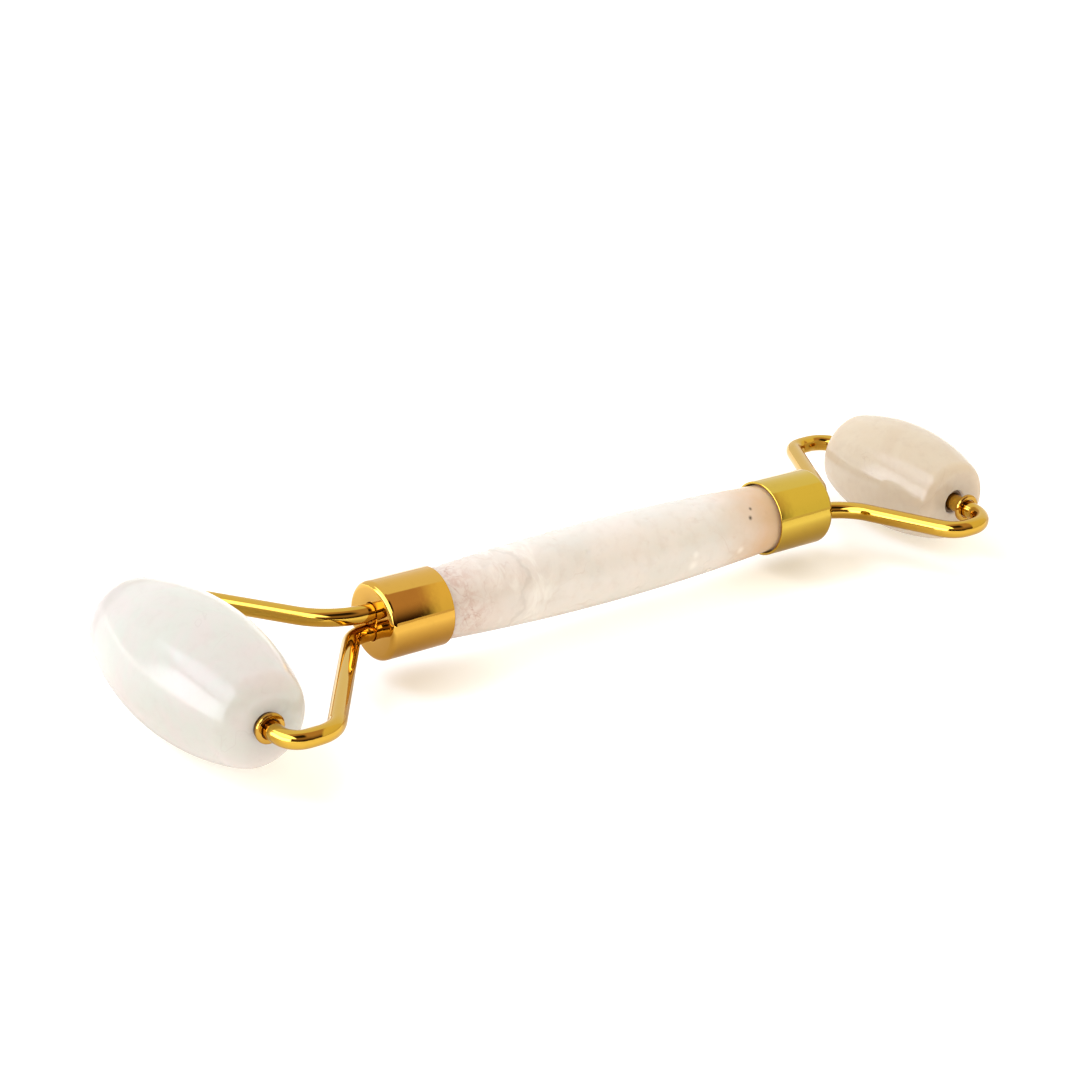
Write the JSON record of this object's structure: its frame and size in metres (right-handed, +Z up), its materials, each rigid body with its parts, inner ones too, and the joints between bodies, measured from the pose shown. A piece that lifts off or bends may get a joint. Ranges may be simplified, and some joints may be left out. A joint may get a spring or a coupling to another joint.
{
  "type": "face roller",
  "caption": "Double-ended hand-held face roller with a stone handle, metal ferrules and wire forks that carry spinning stone rollers.",
  "frame": {"origin": "the middle of the handle, on its axis", "axes": "+X along the handle towards the small roller, +Y along the roller axles to the far arms, +Z up"},
  "size_m": [0.1538, 0.054, 0.0206],
  "materials": {
    "handle_quartz": "polished rose quartz, pale pink beige with cloudy bands and fine veins",
    "large_roller_quartz": "polished quartz, nearly white with faint pink and grey clouds",
    "small_roller_quartz": "polished rose quartz, pink beige",
    "ferrule_gold": "mirror-polished gold plating",
    "wire_gold": "mirror-polished gold plating",
    "collar_gold": "mirror-polished gold plating",
    "bush_nylon": "dark brown nylon",
    "bond_resin": "set epoxy resin"
  },
  "bodies": {
    "frame": {"handle_stone": "handle_quartz", "large_ferrule": "ferrule_gold", "small_ferrule": "ferrule_gold", "large_bond": "bond_resin", "small_bond": "bond_resin", "large_fork": "wire_gold", "small_fork": "wire_gold", "large_collar_near": "collar_gold", "large_collar_far": "collar_gold", "small_collar_near": "collar_gold", "small_collar_far": "collar_gold"},
    "large_bushes": {"large_bush_near": "bush_nylon", "large_bush_far": "bush_nylon"},
    "large_roller": {"large_roller_stone": "large_roller_quartz"},
    "small_bushes": {"small_bush_near": "bush_nylon", "small_bush_far": "bush_nylon"},
    "small_roller": {"small_roller_stone": "small_roller_quartz"}
  },
  "joints": [
    {"name": "large_end_float", "type": "slide", "parent": "frame", "child": "large_bushes", "axis": [0, 1, 0], "range_m": [-0.0002, 0.0008]},
    {"name": "large_roller_spin", "type": "hinge", "parent": "large_bushes", "child": "large_roller", "pos_m": [-0.0714, 0, 0], "axis": [0, 1, 0], "continuous": true},
    {"name": "small_end_float", "type": "slide", "parent": "frame", "child": "small_bushes", "axis": [0, 1, 0], "range_m": [-0.0021, 0.0002]},
    {"name": "small_roller_spin", "type": "hinge", "parent": "small_bushes", "child": "small_roller", "pos_m": [0.0634, 0, 0], "axis": [0, 1, 0], "continuous": true}
  ]
}
